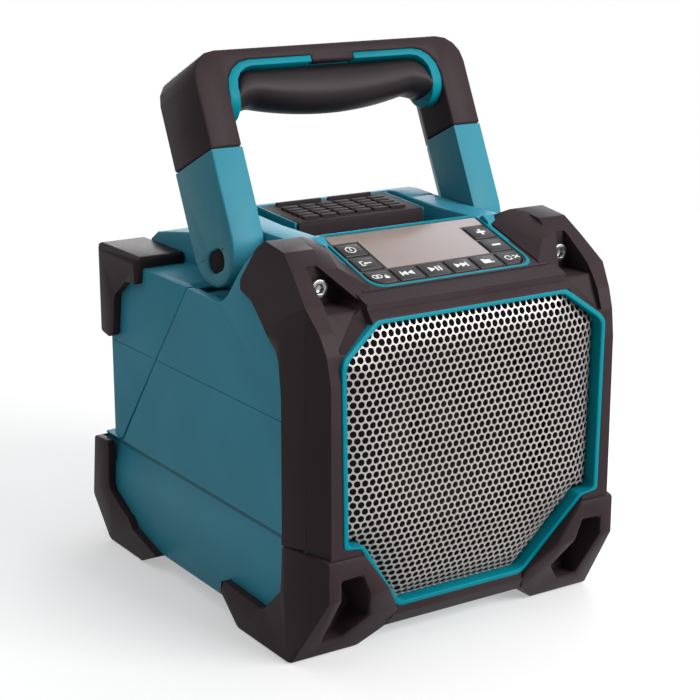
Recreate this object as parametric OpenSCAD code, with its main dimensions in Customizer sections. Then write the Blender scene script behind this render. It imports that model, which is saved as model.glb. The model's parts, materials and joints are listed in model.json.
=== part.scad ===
// Jobsite speaker with a swinging carry handle, a hinged battery cover and a framed honeycomb grille.
// Front faces -Y, up is +Z, the floor is Z = 0 and the origin is the middle of the footprint.

/* [Body] */
// width over the corner bumpers
body_w = 163; // [150:1:180]
// width of the shell between the bumpers, at the drawn width of the body
shell_w = 155.4; // [144:0.2:160]
// depth from the front feet to the rear bumpers
body_d = 213; // [205:1:225]
// height of the side ledges that the arms swing over
ledge_z = 145; // [141:0.5:146]
// height of the deck between the arms
deck_z = 173; // [171:0.5:174]
// half width of the raised deck
deck_half = 55.8; // [50:0.2:61]
// floor of the channel that the arms swing over
arm_floor = 141.5; // [138:0.1:142]
// moulded wall thickness
wall = 3; // [2:0.1:4]

/* [Front frame] */
// half width of the frame at the front plane
pillar_front = 74; // [70:0.5:77]
// height of the joint between frame and foot
foot_top = 52; // [48:0.5:55]
// how far the feet stand proud of the frame
foot_proud = 1.5; // [0.8:0.1:2.5]
// height of the horn tops
horn_z = 176.5; // [172:0.5:180]
// depth of the screw pockets beside the panel
screw_pocket = 28; // [22:1:32]
// depth of the pockets in the front feet
foot_pocket = 26; // [12:1:28]

/* [Grille] */
// width of the trim ring band
ring_band = 2.4; // [1.8:0.1:6]
// distance between grille holes
hole_pitch = 4.2; // [4:0.1:6]
// diameter of a grille hole
hole_d = 3; // [2:0.1:3.2]
// thickness of the perforated sheet
sheet_t = 1; // [0.8:0.1:1.5]
// height of the bend between the upright and the sloping sheet
bend_z = 56; // [54:0.5:60]
// slope of the lower sheet
lower_tilt = 16; // [12:0.5:18]

/* [Loudspeaker] */
// height of the loudspeaker axis
woofer_z = 90; // [88:1:94]
// outer radius of the loudspeaker flange
woofer_r = 50; // [46:0.5:50]
// outer radius of the cone
cone_r = 39; // [34:0.5:40]

/* [Control panel] */
// half width of the key tray
panel_half = 41; // [40:0.2:42]
// length of the tray up the slope
panel_len = 45; // [43:0.5:46]
// slope of the panel
panel_tilt = 18; // [17:0.5:19]
// key travel
key_travel = 1; // [0.5:0.1:1.2]
// gap round each key
key_gap = 0.4; // [0.3:0.05:0.6]

/* [Handle] */
// pivot distance behind the middle
pivot_y = -10; // [-14:0.5:-6]
// pivot height
pivot_z = 159.5; // [156:0.1:163]
// lean of the handle from upright as drawn
lean = 25; // [20:0.5:30]
// width of an arm seen from the side
arm_w = 37.4; // [33:0.2:41]
// thickness of an arm
arm_t = 15.7; // [13:0.1:17]
// gap between the deck and an arm
arm_gap = 1; // [0.6:0.1:2]
// distance from the pivot to the joint between arm and crown
split_a = 45.5; // [40:0.5:52]
// distance from the pivot to the top of the crown
crown_a = 89.5; // [84:0.5:96]
// distance from the pivot to the axis of the grip
grip_a = 70; // [66:0.5:72]
// radius of the grip
grip_r = 11; // [9:0.2:12]
// diameter of the pivot bolt
bolt_d = 9; // [6:0.5:11]
// play between bolt and bore on the radius
bolt_play = 0.05; // [0.02:0.01:0.1]

/* [Battery cover] */
// gap along the cover joint
seam = 0.6; // [0.4:0.1:1]
// diameter of the cover hinge pin
hinge_d = 4; // [3:0.5:5]
// half width of the latch lid
lid_half = 35; // [32:0.5:37]
// rear edge of the latch lid
lid_rear = 17.6; // [16:0.2:18.5]

/* [Hidden] */
half_w = body_w / 2;
side_shift = half_w - 81.5;
half_s = shell_w / 2 + side_shift;
front_y = -body_d / 2 + foot_proud;
rear_y = body_d / 2;
arm_in = deck_half + arm_gap;
arm_out = arm_in + arm_t;
well_half = 41;
well_wall = 1.6;
board_w = 5 + key_travel;
hinge_y = 101.5 + rear_y - 106.5;
hinge_z = 57.5;
base_z = 54;
well_z = 162;
lid_pin_y = lid_rear - 3.8;
lid_pin_z = 168.4;
panel_y = -88.5 + front_y + 105;
panel_z = 159;
// A place given for the drawn depth, carried along with the front or the rear plane.
front_shift = front_y + 105;
rear_shift = rear_y - 106.5;
function fy(y) = y + front_shift;
function ry(y) = y + rear_shift;
function sx(x) = x + side_shift;

// Helpers: an outline drawn in (y, z) pushed along X, and one drawn in (x, z) pushed along Y.
module along_x(x0, x1) translate([x0, 0, 0]) rotate([90, 0, 90]) linear_extrude(x1 - x0) children();
module along_y(y0, y1) translate([0, y1, 0]) rotate([90, 0, 0]) linear_extrude(y1 - y0) children();
module both_sides() {
  children();
  mirror([1, 0, 0]) children();
}
module on_panel() translate([0, panel_y, panel_z]) rotate([panel_tilt, 0, 0]) children();
module on_handle() translate([0, pivot_y, pivot_z]) rotate([-lean, 0, 0]) children();
module box(a, b) translate(a) cube(b - a);
module rod_x(x0, x1, y, z, d, f = 48) translate([x0, y, z]) rotate([0, 90, 0]) cylinder(d = d,
  h = x1 - x0, $fn = f);

// A polygon with each corner rounded by its own radius: points are [x, y, r].
function turn(a, b, c) = let(u = (a - b) / norm(a - b), v = (c - b) / norm(c - b)) acos(max(-1, min(1,
  u * v)));
function corner(a, b, c, r, n = 4) =
  let(u = (a - b) / norm(a - b), v = (c - b) / norm(c - b), h = turn(a, b, c) / 2,
    t = r / tan(h), m = (u + v) / norm(u + v), o = b + m * r / sin(h), p = b + u * t, q = b + v * t,
    s = atan2(p[1] - o[1], p[0] - o[0]), e = atan2(q[1] - o[1], q[0] - o[0]),
    d = e - s > 180 ? e - s - 360 : (e - s < -180 ? e - s + 360 : e - s))
  r < 0.05 ? [b] : [for (i = [0:n]) o + r * [cos(s + d * i / n), sin(s + d * i / n)]];
function xy(p) = [p[0], p[1]];
function rounded(pts) = let(n = len(pts)) [for (i = [0:n - 1])
  each corner(xy(pts[(i + n - 1) % n]), xy(pts[i]), xy(pts[(i + 1) % n]), pts[i][2])];
function flip(pts) = [for (i = [len(pts) - 1:-1:0]) [-pts[i][0], pts[i][1], pts[i][2]]];

// Front opening outline in (x, z), drawn for one half and mirrored. g insets it.
function ring_half(g) = [[sx(34.1) - 0.55 * g, 18.9 + g, 7], [sx(59.6) - 0.9 * g, 54.2 + 0.35 * g, 2.5],
  [sx(67.9) - g, 55.2 + 0.5 * g, 2.5], [sx(68.9) - g, 135.4 - 0.5 * g, 7], [sx(48.9) - 0.35 * g, 150 - g,
    6]];
module ring_outline(g) polygon(rounded(concat(ring_half(g), flip(ring_half(g)))));

// Front surface of the ring in (y, z), set back by s and cut t deep.
function front_line(s) = [[front_y - 0.5 + s + (bend_z - 15) * tan(lower_tilt), 15], [front_y - 0.5 + s,
  bend_z], [front_y - 0.5 + s, 134],
  [front_y + 4.6 + s, 153]];
module front_band(s, t) polygon(concat(front_line(s), [for (i = [3:-1:0]) front_line(s + t)[i]]));

// Outer volumes of the shell, used to shape the pieces that wrap it.
module shell_outer() {
  intersection() {
    along_x(-half_s, half_s) polygon(rounded([[fy(-92), 14, 0], [fy(-85), 7, 0], [ry(90), 7, 0],
      [ry(98), 14, 0], [ry(101.5), 30, 0], [ry(101.5), 54, 0], [ry(78), 54, 0], [41, 102, 0],
      [7, ledge_z, 0], [-17, ledge_z - 0.9, 0], [-22.5, ledge_z - 0.8, 6], [fy(-28.5), ledge_z + 4, 5],
      [fy(-33), 157, 0], [fy(-38), 164.5, 0], [fy(-45), 171, 0], [fy(-50), 174.2, 0], [fy(-54), 172, 0],
      [fy(-57), 151, 0], [fy(-92), 147, 0]]));
    side_slant(half_s, 148, 6.2);
  }
  along_x(-deck_half, deck_half) polygon([[fy(-72), 140], [fy(-72), panel_z + 16.5 * tan(panel_tilt)],
    [fy(-45.2), deck_z], [-16, deck_z], [5, deck_z + 1.2], [5, 140]]);
  along_x(-panel_half - 7, panel_half + 7) polygon([[fy(-89.5), 140], [fy(-89.5), 158.6], [panel_y,
    panel_z],
    [fy(-71.9), panel_z + 16.6 * tan(panel_tilt)], [fy(-71.9), 140]]);
}
// The sides lean inward above a height, seen from the front.
module side_slant(h, z, d) along_y(-140, 140) polygon([[-h, -1], [h, -1], [h, z], [h - d, 177], [-h + d,
  177], [-h, z]]);
module rear_plan(h, y) linear_extrude(220) polygon([[-h, -150], [h, -150], [h, ry(y)], [h - 12,
  ry(y) + 18.7],
  [-h + 12, ry(y) + 18.7], [-h, ry(y)]]);
module arm_channel() both_sides() along_x(deck_half, arm_out + 1.1) polygon([[-22.5, arm_floor], [2,
  arm_floor],
  [2 + (ledge_z + 3 - arm_floor) / 0.3, ledge_z + 3], [42, ledge_z + 3], [42, 200], [-22.5, 200]]);
module cover_outer() {
  intersection() {
    along_x(-half_s, half_s) polygon([[7 + seam, ledge_z], [41 + seam, 102], [74.6 + seam, 60],
      [78.5 + seam, 54 + seam],
      [ry(101), 54 + seam], [ry(101.5), 60], [ry(97), 112], [ry(92), 141], [ry(86), ledge_z + 1]]);
    rear_plan(half_s, 86);
  }
  along_x(-deck_half, deck_half) polygon([[5 + seam, 137], [5 + seam, deck_z + 1.2], [18, deck_z + 2],
    [26, deck_z + 1.5],
    [46, 161], [62, 158.6], [ry(78), 155.8], [ry(84), 152], [ry(92), 137]]);
}
module panel_outline(g) polygon(rounded([[-panel_half - g, 1 - g, 7], [panel_half + g, 1 - g, 7],
  [panel_half + g, panel_len + g, 3], [-panel_half - g, panel_len + g, 3]]));
module panel_room() on_panel() translate([0, 0, -board_w - 1.6]) linear_extrude(40) panel_outline(1.4);
module well() box([-well_half, fy(-41.5), well_z], [well_half, 5.1, 190]);
module baffle_room() intersection() {
  along_y(-130, -60) ring_outline(-3.2);
  along_x(-90, 90) front_band(8.9, 30);
}

module screw_bores() both_sides() translate([sx(63.1), fy(-49.5), 159.9]) rotate([90, 0,
  0]) cylinder(d = 4.1, h = 29, $fn = 32);

// Main moulded shell: open at the front for the baffle and at the rear for the battery.
module foot_pocket_shape(g) polygon([[sx(59) - 0.8 * g, 42.7 + g], [sx(69.4) + g, 42.2 + g],
  [sx(69.4) + g, 9.4 - 0.6 * g], [sx(59) - 0.6 * g, 9.4 - 0.6 * g], [sx(49.5) - 1.2 * g, 20]]);
// A pocket, or with g its well: the pocket grown by g on all sides and at the back.
module foot_well(g) both_sides() along_y(-130, fy(-106) + foot_pocket + g) foot_pocket_shape(g);
module main_shell() color("#2f7f93") difference() {
  union() {
    difference() {
      shell_outer();
      along_x(-half_s + wall, half_s - wall) polygon([[fy(-94), 18], [fy(-94), 141], [-42, 141], [-38,
        arm_floor - 3.6],
        [5, arm_floor - 3.6], [5, 51], [ry(95), 51], [ry(98.3), 42],
        [ry(98.3), 31], [ry(95.6), 16], [ry(88.7), 10], [fy(-83), 10]]);
      along_x(-half_s + wall, half_s - wall) polygon([[4.9, 54], [ry(80), 54], [ry(80), 62], [41, 112],
        [7, 150], [4.9, 150]]);
      along_x(-deck_half + wall, deck_half - wall) polygon([[fy(-70), arm_floor - 4], [fy(-70), 147],
        [fy(-44), 152],
        [2, 152], [2, arm_floor - 4]]);
    }
    both_sides() rod_x(deck_half - 2, arm_in - 0.5, pivot_y, pivot_z, 24);
    both_sides() for (y = [-30, -2]) translate([48, y, 9]) cylinder(d = 7, h = 11, $fn = 32);
    both_sides() intersection() {
      rod_x(18, 30, hinge_y, hinge_z, 8);
      box([10, hinge_y - 11.5, 50], [40, hinge_y + 4.5, 70]);
    }
    both_sides() box([18, hinge_y - 5.5, base_z - 2], [30, hinge_y, hinge_z]);
  }
  panel_room();
  well();
  screw_bores();
  both_sides() rod_x(well_half + 4, arm_in + 4, pivot_y, pivot_z, bolt_d + 2 * bolt_play);
  arm_channel();
  rod_x(-46, 46, hinge_y, hinge_z, hinge_d);
  both_sides() rod_x(30, 43.6, hinge_y, hinge_z, 9);
  foot_well(well_wall + 0.2);
  both_sides() along_y(fy(-79), ry(103)) polygon([[half_s + 1, base_z], [half_s, base_z], [half_s - 2,
    base_z - 4], [half_s, 38], [half_s + 1, 38]]);
  both_sides() along_x(half_s - 0.3, half_s + 1) polygon([[-78, 103.8], [44, 103.8], [44, 104.2], [-78,
    104.2]]);
}

// Black frame with horns: side outline of a pillar in (y, z).
module pillar_side() polygon(rounded([[front_y, 30, 0], [fy(-76), 30, 0], [fy(-78.5), 59, 2], [fy(-79),
  116, 3],
  [fy(-77), 133, 5], [fy(-64.5), 143, 3], [fy(-51.5), 151.3, 3], [fy(-41), 154, 1.5], [fy(-39.8), 158.2,
    1.5],
  [fy(-47.8), 172.3, 3], [fy(-53.8), horn_z, 2.5], [fy(-69.5), horn_z - 2.3, 3], [fy(-79), 167.3, 5],
  [fy(-92), 156.5, 6], [fy(-99.3), 146.5, 6], [fy(-103), 138, 6], [front_y, 126, 6]]));
module plan_chamfer(f, a, b) linear_extrude(200) polygon([[-half_w, 110], [-half_w, front_y + a], [-f,
  front_y + b], [-f + 1.2, front_y - 4],
  [f - 1.2, front_y - 4], [f, front_y + b], [half_w, front_y + a], [half_w, 110]]);
module screw_pocket_shape() polygon(rounded([[sx(54), 152.4, 0], [sx(69.2), 152.4, 0], [sx(69), 160, 3],
  [sx(67.9), 169, 1], [sx(62.6), 169, 1], [sx(51.3), 155.2, 1]]));
module corner_hollow() intersection() {
  along_y(-130, -60) polygon([[sx(54), 152.5], [sx(56.6), 150.6], [sx(61), 146.1], [sx(68.3), 138.2],
    [sx(69.2), 152.5]]);
  along_x(40, 90) polygon([[fy(-125), 137], [fy(-101.4), 137], [fy(-93), 152.6], [fy(-125), 152.6]]);
}
module foot_front_shape() polygon(rounded([[half_w + 1, -1, 0], [half_w + 1, foot_top, 0], [sx(57.9),
  foot_top, 0],
  [sx(34.1), 18.9, 0], [sx(38), 9, 1], [sx(50), -1, 0]]));
module front_frame() color("#2b2729") difference() {
  intersection() {
    union() {
      both_sides() along_x(sx(59), half_w) pillar_side();
      both_sides() intersection() {
        along_x(panel_half + 3.2, sx(59.5)) pillar_side();
        on_panel() translate([panel_half + 1.4, 0, 0]) rotate([0, -24, 0]) translate([-5, -30,
          -60]) cube([60, 100, 60]);
        box([0, -130, 140], [90, 0, 200]);
      }
      along_x(-sx(52), sx(52)) polygon([[fy(-102.5), 145], [fy(-101.4), 150.2], [fy(-98.4), 152.5],
        [fy(-97.7), 155.2], [fy(-89), 158.8],
        [fy(-88.6), 158.8], [fy(-88.6), 145]]);
    }
    plan_chamfer(pillar_front, 26, 0.5);
    side_slant(half_w, 140, 8.5);
  }
  shell_outer();
  along_y(-130, -60) ring_outline(0);
  baffle_room();
  panel_room();
  both_sides() along_y(-130, -60) foot_front_shape();
  both_sides() along_y(-130, fy(-104) + screw_pocket) screw_pocket_shape();
  both_sides() corner_hollow();
  screw_bores();
}

module front_sill() color("#2b2729") difference() {
  along_x(-sx(60), sx(60)) polygon([[fy(-94.6), 19.5], [fy(-94.2), 15.5], [fy(-88.5), 8.6], [fy(-80), 7],
    [fy(-80), 19.5]]);
  shell_outer();
  along_y(-130, -60) ring_outline(0);
  baffle_room();
  both_sides() along_y(-130, -60) foot_front_shape();
}

// Feet: side outlines in (y, z) wrapped round the shell.
module front_foot() color("#242123") difference() {
  intersection() {
    along_x(sx(33), half_w) polygon(rounded([[front_y - foot_proud, foot_top, 0], [front_y - foot_proud,
      34, 3],
      [fy(-84), 0, 3], [fy(-39), 0, 6], [fy(-23.3), 12.6, 2], [fy(-26.2), 18, 2], [fy(-61.4), 16.5, 6],
        [fy(-76.6), 31, 4], [fy(-78), foot_top, 0]]));
    plan_chamfer(75.6, 24, -3);
    along_y(-130, 0) foot_front_shape();
  }
  difference() {
    shell_outer();
    foot_well(well_wall);
  }
  along_y(-130, -60) ring_outline(0);
  baffle_room();
  foot_well(0);
}
module front_foot_left() mirror([1, 0, 0]) front_foot();
module front_foot_right() front_foot();
module rear_foot() color("#242123") difference() {
  along_x(sx(44), half_w) polygon(rounded([[ry(87), 52, 1.5], [ry(102.5), 51, 2], [rear_y, 19, 4],
    [ry(89), 0, 5], [ry(54), 0, 8],
    [ry(30), 10.6, 2], [ry(33), 16.5, 2], [ry(69), 18, 6], [ry(88), 27, 5]]));
  shell_outer();
}
module rear_foot_left() mirror([1, 0, 0]) rear_foot();
module rear_foot_right() rear_foot();

// Grille: trim ring, perforated sheet bent once, baffle behind.
module grille_ring() color("#0f8ba0") intersection() {
  along_y(-130, -70) difference() {
    ring_outline(0);
    ring_outline(ring_band);
  }
  along_x(-80, 80) front_band(0, 8);
}
g0 = ring_half(ring_band);
sheet_y = front_y + 3.5;
low_len = (bend_z - g0[0][1]) / cos(lower_tilt);
function side_of(p, a, b) = let(d = (b - a) / norm(b - a)) (p - a) * [d[1], -d[0]];
edge_gap = hole_d / 2 + 1;
function upper_hole(p) = abs(p[0]) < g0[3][0] - edge_gap - 0.3 && p[1] > 57.7 + edge_gap
  && p[1] < g0[4][1] - edge_gap && side_of([abs(p[0]), p[1]], xy(g0[3]), xy(g0[4])) < -edge_gap;
function lower_hole(p) = p[1] < -edge_gap + 0.4 && p[1] > edge_gap - low_len
  && side_of([abs(p[0]), p[1]], [g0[0][0], -low_len], [g0[1][0], 0]) < -edge_gap;
module hole_row(lo) for (j = [-40:40], i = [-20:20]) {
  p = [(i + (abs(j) % 2) / 2) * hole_pitch, (lo ? 0 : woofer_z) + j * hole_pitch * sqrt(3) / 2];
  if (lo ? lower_hole(p) : upper_hole(p)) translate(p) circle(d = hole_d, $fn = 24);
}
module speaker_grille() color("#b9b6b2") {
  along_y(sheet_y, sheet_y + sheet_t) difference() {
    intersection() {
      ring_outline(ring_band);
      translate([-100, bend_z]) square([200, 120]);
    }
    hole_row(false);
  }
  translate([0, sheet_y, bend_z]) rotate([90 + lower_tilt, 0, 0]) translate([0, 0,
    -sheet_t]) linear_extrude(sheet_t)
    difference() {
      polygon(rounded([[0.2 - g0[1][0], 0.3, 0], [0.2 - g0[0][0], 0.1 - low_len, 8], [g0[0][0] - 0.2,
        0.1 - low_len, 8], [g0[1][0] - 0.2, 0.3, 0]]));
      hole_row(true);
    }
}
module baffle() color("#1b1b1c") difference() {
  union() {
    difference() {
      intersection() {
        along_y(-130, -60) ring_outline(-3.2);
        along_x(-80, 80) front_band(9, 3);
      }
      on_woofer() translate([0, 0, -1]) cylinder(r = woofer_r + 1, h = 20, $fn = 96);
      box([-100, fy(-92.3), 140.8], [100, -60, 170]);
    }
    on_woofer() translate([0, 0, -3]) cylinder(r = woofer_r + 2, h = 3, $fn = 96);
  }
  on_woofer() translate([0, 0, -20]) cylinder(r = woofer_r - 4.6, h = 40, $fn = 96);
  box([-100, fy(-92.3), 140.8], [100, -60, 170]);
}

// Loudspeaker: everything turns round the axis through the baffle hole.
module on_woofer() translate([0, front_y + 13.5, woofer_z]) rotate([-90, 0, 0]) children();
module woofer_basket() color("#2a2a2c") on_woofer() {
  difference() {
    rotate_extrude($fn = 96) polygon([[woofer_r - 7, 0], [woofer_r, 0], [woofer_r, 2.5], [woofer_r - 2,
      2.5], [34, 24],
      [34, 30], [18, 30], [18, 27.5], [31.5, 27.5], [31.5, 23]]);
    for (a = [0:60:300]) rotate(a + 30) translate([28, -9, 4]) cube([40, 18, 18]);
  }
}
module woofer_magnet() color("#6d6f72") on_woofer() difference() {
  translate([0, 0, 30]) cylinder(r = 36, h = 17, $fn = 96);
  translate([0, 0, 29]) cylinder(r = 14.2, h = 14, $fn = 64);
}
module woofer_surround() color("#151515") on_woofer() rotate_extrude($fn = 96)
  polygon([[cone_r + 0.35, 1.3], [cone_r + 0.35, 0.1], [cone_r + 1.2, -1.8], [cone_r + 2.6, -1.8],
    [cone_r + 3.7, -1.2],
    [woofer_r - 4.6, -1.2], [woofer_r - 4.6, 0], [woofer_r - 7.1, 0], [cone_r + 2.4, -0.7],
      [cone_r + 1.6, -0.7],
    [cone_r + 1.1, 1.3]]);
module woofer_cone() color("#3a3836") on_woofer() {
  rotate_extrude($fn = 96) polygon([[cone_r, 0.6], [cone_r, 1.8], [cone_r - 1, 1.8], [13.8, 19], [13.8,
    37], [13, 37],
    [13, 17.6], [cone_r - 2.2, 0.6]]);
  translate([0, 0, 27.5]) difference() {
    intersection() {
      sphere(r = 17, $fn = 64);
      translate([0, 0, -20]) cylinder(r = 13.2, h = 20, $fn = 64);
    }
    sphere(r = 16, $fn = 64);
    translate([0, 0, -6]) cylinder(r = 20, h = 20, $fn = 64);
  }
}

// Control panel: drawn flat in the panel's own frame, then tilted.
key_w = 12.2;
key_h = 9.6;
key_u = 13.8;
module key_at(i) translate(i < 6 ? [(i - 2.5) * key_u, 7.4] : [(i < 8 ? -2.5 : 2.5) * key_u,
  i % 2 == 0 ? 31 : 19.2]) children();
module key_shape(i, g, inset) intersection() {
  key_at(i) translate([-key_w / 2 - g, -key_h / 2 - g]) square([key_w + 2 * g, key_h + 2 * g]);
  panel_outline(-inset);
}
module lens_shape(g) polygon([[-27 - g, 13.6 - g], [27 + g, 13.6 - g], [27 + g, 37.4 - g],
  [panel_half - 1 + g, 37.4 - g],
  [panel_half - 1 + g, panel_len - 1 + g], [-panel_half + 1 - g, panel_len - 1 + g],
    [-panel_half + 1 - g, 37.4 - g],
  [-27 - g, 37.4 - g]]);
module panel_tray() color("#1a1819") on_panel() difference() {
  translate([0, 0, -3]) linear_extrude(3) panel_outline(0);
  for (i = [0:9]) translate([0, 0, -4]) linear_extrude(6) key_shape(i, key_gap, 0.8);
  translate([0, 0, -1.2]) linear_extrude(4) lens_shape(0);
  translate([-24, 16, -4]) cube([48, 25, 6]);
}
module panel_rim() color("#2a93a6") on_panel() translate([0, 0, -3]) linear_extrude(3.5) difference() {
  panel_outline(1.4);
  panel_outline(0);
}
module display_lens() color("#6b635e") on_panel() translate([0, 0, -1.2]) linear_extrude(1.4) lens_shape(0);
module display_module() color("#3d4a3c") on_panel() translate([-23.6, 16.4, -board_w]) cube([47.2, 24.2,
  board_w - 1.2]);
module key_board() color("#20542f") on_panel() translate([0, 0,
  -board_w - 1.6]) linear_extrude(1.6) panel_outline(1.4);
module key(i) color("#191718") on_panel() {
  translate([0, 0, -4]) linear_extrude(4.5) key_shape(i, 0, 0.8 + key_gap);
  translate([0, 0, -4.6]) linear_extrude(1.5) key_shape(i, 0.6, 0.3);
}
module key_pair() key(0);
module key_previous() key(1);
module key_play() key(2);
module key_next() key(3);
module key_folder() key(4);
module key_repeat() key(5);
module key_power() key(6);
module key_source() key(7);
module key_plus() key(8);
module key_minus() key(9);

// Screws that hold the frame, one in each pocket.
module frame_screws() color("#c9c9c9") both_sides() translate([sx(63.1), fy(-104) + screw_pocket, 159.9])
  rotate([90, 0, 0]) difference() {
  union() {
    cylinder(d = 8, h = 4, $fn = 48);
    translate([0, 0, -26]) cylinder(d = 4, h = 26.1, $fn = 32);
  }
  translate([0, 0, 1.5]) cylinder(d = 4.6, h = 4, $fn = 6);
}

// Electronics and battery bay.
module main_board() color("#20542f") {
  box([-55, -36, 20], [55, 4, 21.6]);
  box([-30, -28, 21.6], [-12, -10, 24]);
  box([8, -24, 21.6], [20, -12, 25]);
  box([28, -30, 21.6], [46, -18, 33]);
  for (x = [-44, -36]) translate([x, -6, 21.6]) cylinder(d = 7, h = 10, $fn = 32);
}
module battery_bay() color("#262425") difference() {
  union() {
    along_x(-half_s + wall + 0.5, half_s - wall - 0.5) polygon([[5, 54], [ry(77.6), 54], [ry(75.4), 57],
      [8, 57],
      [8, arm_floor - 4.2], [5, arm_floor - 4.2]]);
    along_x(-deck_half + wall + 0.6, deck_half - wall - 0.6) polygon([[5, arm_floor - 4.5], [5, 157],
      [5.4, 157], [8, arm_floor - 4.5]]);
  }
  box([30, 4, 60], [62, 9, 72]);
}
module battery_terminal() color("#1d1c1c") {
  difference() {
    box([-34, 8, 72], [34, 16, 118]);
    box([-26, 12, 70], [26, 17, 112]);
  }
  both_sides() box([31, 16, 72], [37, 19, 118]);
  for (x = [-15, 0, 15]) box([x - 0.6, 12, 84], [x + 0.6, 19, 104]);
}

// Battery cover with its corner bumpers, hinged low at the rear.
module cover_hinge_pin() color("#b0b0b0") rod_x(-43, 43, hinge_y, hinge_z, hinge_d);
module battery_cover() color("#2f7f93") difference() {
  union() {
    difference() {
      cover_outer();
      intersection() {
        along_x(-half_s + wall, half_s - wall) polygon([[3.7, arm_floor - 3.6], [44, 98], [74, 56],
          [ry(80), 50], [ry(98), 50],
          [ry(98.4), 60], [ry(94), 111], [ry(89), arm_floor - 3.6]]);
        rear_plan(half_s - wall, 85);
      }
      along_x(-deck_half + wall, deck_half - wall) polygon([[0, 136], [0, 159], [24, 159], [ry(60),
        154.5], [ry(85), 147.5], [ry(89), 136]]);
    }
    both_sides() rod_x(30.6, 43, hinge_y, hinge_z, 8);
    both_sides() box([30.6, hinge_y - 3, hinge_z], [43, hinge_y - 0.2, hinge_z + 6.5]);
  }
  box([-well_half, 0, well_z], [well_half, lid_rear + 4.9, 190]);
  arm_channel();
  rod_x(-well_half - 3, well_half + 3, lid_pin_y, lid_pin_z, 3);
  both_sides() rod_x(17.4, 30.6, hinge_y, hinge_z, 9.4);
  both_sides() box([17.4, hinge_y - 7.5, 50], [30.6, hinge_y + 1.5, hinge_z + 0.1]);
  rod_x(-46, 46, hinge_y, hinge_z, hinge_d + 0.1);
  both_sides() along_x(half_s - 0.3, half_s + 1) polygon([[44, 103.8], [ry(96), 103.8], [ry(96), 104.2],
    [44, 104.2]]);
}
module upper_bumper() color("#242123") difference() {
  intersection() {
    along_x(deck_half + 0.4, half_w) polygon(rounded([[ry(49.5), 151, 2], [ry(92), 151, 3], [ry(100),
      140, 4], [ry(102), 110, 3],
      [ry(82), 106.4, 2], [ry(77), 108.5, 2], [ry(74), 128.5, 5], [ry(61.5), 137.6, 4], [ry(51.5), 137.8,
        2]]));
    rear_plan(half_w, 90);
    along_y(0, 140) polygon([[0, 90], [half_w, 90], [half_w, 148], [half_w - 3, 151.2], [0, 151.2]]);
    linear_extrude(220) polygon([[0, 0], [half_w - 3, ry(49.4)], [half_w, ry(52.4)], [half_w, 140], [0,
      140]]);
  }
  cover_outer();
}
module upper_bumper_left() mirror([1, 0, 0]) upper_bumper();
module upper_bumper_right() upper_bumper();

// Latch lid on the cover: the front edge lifts, the pin is at the rear.
module latch_lid() color("#2a93a6") difference() {
  union() {
    along_x(-lid_half, lid_half) polygon([[-15, 166], [-15, 170.5], [lid_rear, 172.8], [lid_rear, 166]]);
    both_sides() along_x(lid_half - 1.2, lid_half) polygon([[-15, 166], [-15, 173.2], [lid_rear, 175.4],
      [lid_rear, 166]]);
  }
  rod_x(-60, 60, lid_pin_y, lid_pin_z, 3.1);
}
module latch_pad() color("#2b2729") {
  along_x(-lid_half + 1.2, lid_half - 1.2) polygon(rounded([[-15, 166.4, 0.8], [-16.6, 166.4, 0.8],
    [-16.6, 173, 1.5],
    [lid_rear, 175.2, 0.5], [lid_rear, 172.8, 0], [-15, 170.5, 0]]));
  for (i = [0:5], j = [0:4]) translate([(i - 2.5) * 9.4 - 4, -11 + j * 4.4, 173.2 + j * 0.29])
    rotate([3.7, 0, 0]) cube([8, 3, 1.2]);
  for (x = [-26, 2]) translate([x, 15.2, 174.8]) cube([24, 1.6, 1.6]);
}
module latch_pin() color("#b0b0b0") rod_x(-well_half - 3, well_half + 3, lid_pin_y, lid_pin_z, 3);
module latch_catch() color("#262425") both_sides() box([12, -6, well_z], [24, -1, 165.6]);

// Handle, drawn upright in its own frame: z runs up the arm from the pivot.
grip_v = -arm_w / 2 + 0.5 + grip_r;
band_x = arm_in - 5.2;
module handle_taper() {
  both_sides() translate([0, 0, -40]) linear_extrude(crown_a + 34.6) polygon([[30, 4.4], [arm_in, 4.4],
    [arm_in + 9, arm_w / 2 + 0.1], [arm_in + 9, arm_w], [30, arm_w]]);
  along_x(-arm_in - 9, arm_in + 9) polygon([[8, crown_a - 5.5], [arm_w, crown_a - 5.5], [arm_w,
    crown_a - 0.8], [arm_w / 2, crown_a - 0.8]]);
}
module arm() color("#3d8fa3") on_handle() difference() {
  union() {
    rod_x(arm_in, arm_out, 0, 7.4, arm_w, 96);
    box([arm_in, -arm_w / 2, 7.4], [arm_out, arm_w / 2, split_a]);
  }
  handle_taper();
  rod_x(arm_in - 1, arm_out + 1, 0, 0, bolt_d);
  for (v = [-2.6, 2.6]) rod_x(arm_out - 6.5, arm_out + 1, v, 0, bolt_d + 0.8);
  box([arm_out - 6.5, -2.6, -bolt_d / 2 - 0.4], [arm_out + 1, 2.6, bolt_d / 2 + 0.4]);
}
module handle_arm_left() mirror([1, 0, 0]) arm();
module handle_arm_right() arm();
module crown_outline() polygon(rounded([[-arm_out, split_a, 0], [-arm_in, split_a, 0], [-arm_in,
  crown_a - 5.4, 13],
  [arm_in, crown_a - 5.4, 13], [arm_in, split_a, 0], [arm_out, split_a, 0], [arm_out, crown_a, 13],
    [-arm_out, crown_a, 13]]));
module handle_crown() color("#2b2729") on_handle() {
  difference() {
    along_y(-arm_w / 2, arm_w / 2) crown_outline();
    handle_taper();
  }
  box([-11.3, -arm_w / 2, crown_a - 8.4], [11.3, -13, crown_a - 5.3]);
}
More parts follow.
